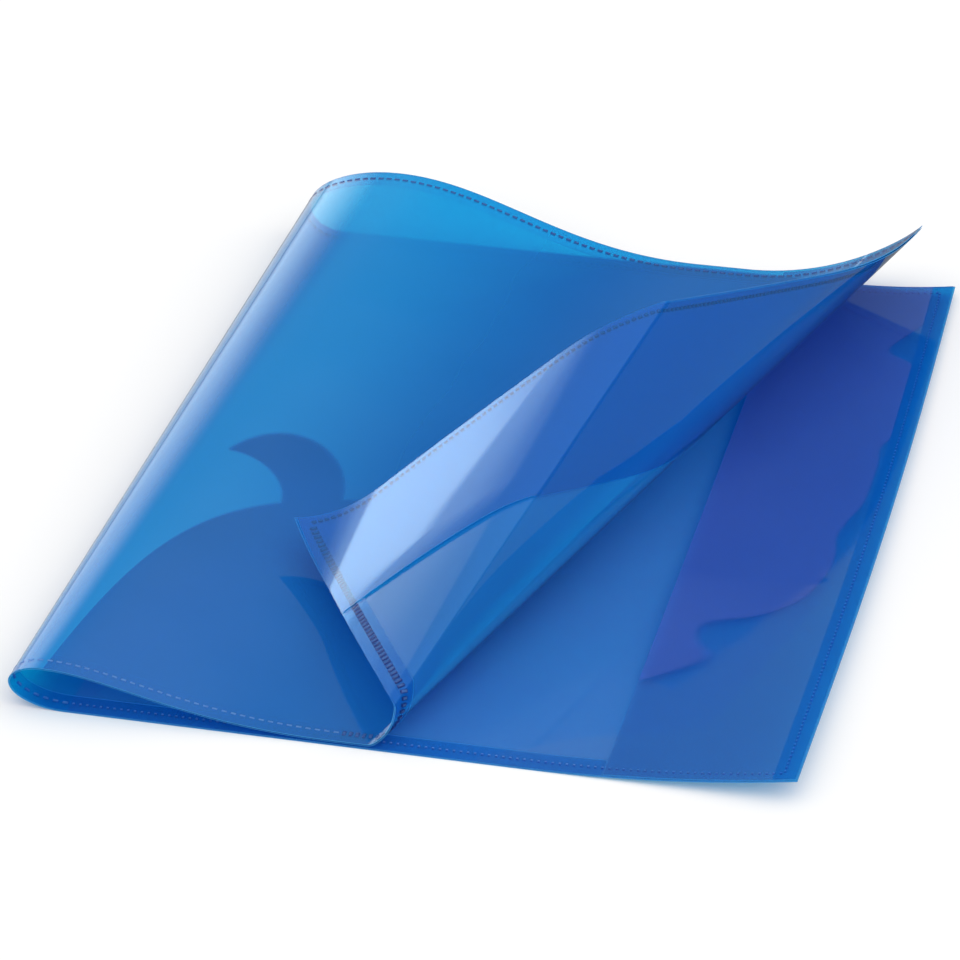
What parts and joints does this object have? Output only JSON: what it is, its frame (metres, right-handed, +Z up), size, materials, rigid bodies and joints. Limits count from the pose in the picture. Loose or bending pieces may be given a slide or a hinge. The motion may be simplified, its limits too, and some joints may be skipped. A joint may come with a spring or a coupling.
{
  "type": "exercise book cover",
  "caption": "Clear coloured film jacket for an exercise book, lying half open on its back, with pockets inside both outer edges, hems between them and one corner of the front rolled over.",
  "frame": {"origin": "on the underside of the back panel where it lies flat, halfway along the spine direction and 80 mm from the spine's zero line", "axes": "+X from the spine to the outer edges, +Y along the spine from the near end to the far end, +Z up"},
  "size_m": [0.2246, 0.3074, 0.0706],
  "materials": {
    "cover_film": "glossy clear blue film",
    "hem_film": "glossy clear blue film",
    "pocket_film": "glossy clear blue film"
  },
  "bodies": {
    "back": {"back_cover": "cover_film", "back_hem_near": "hem_film", "back_hem_far": "hem_film", "back_pocket": "pocket_film"},
    "front": {"front_cover": "cover_film", "front_hem_near": "hem_film", "front_hem_far": "hem_film", "front_pocket": "pocket_film"},
    "pocket_lip": {"back_pocket_lip": "pocket_film"}
  },
  "joints": [
    {"name": "front_cover_fold", "type": "hinge", "parent": "back", "child": "front", "pos_m": [-0.08495, 0, 0.0084], "axis": [-0.0239, -0.9997, -0.0026], "range_deg": [0, 150]},
    {"name": "back_pocket_mouth", "type": "hinge", "parent": "back", "child": "pocket_lip", "pos_m": [0.12853, -0.0415, 0.00476], "axis": [0, 0.9999, -0.0124], "range_deg": [0, 12]}
  ]
}
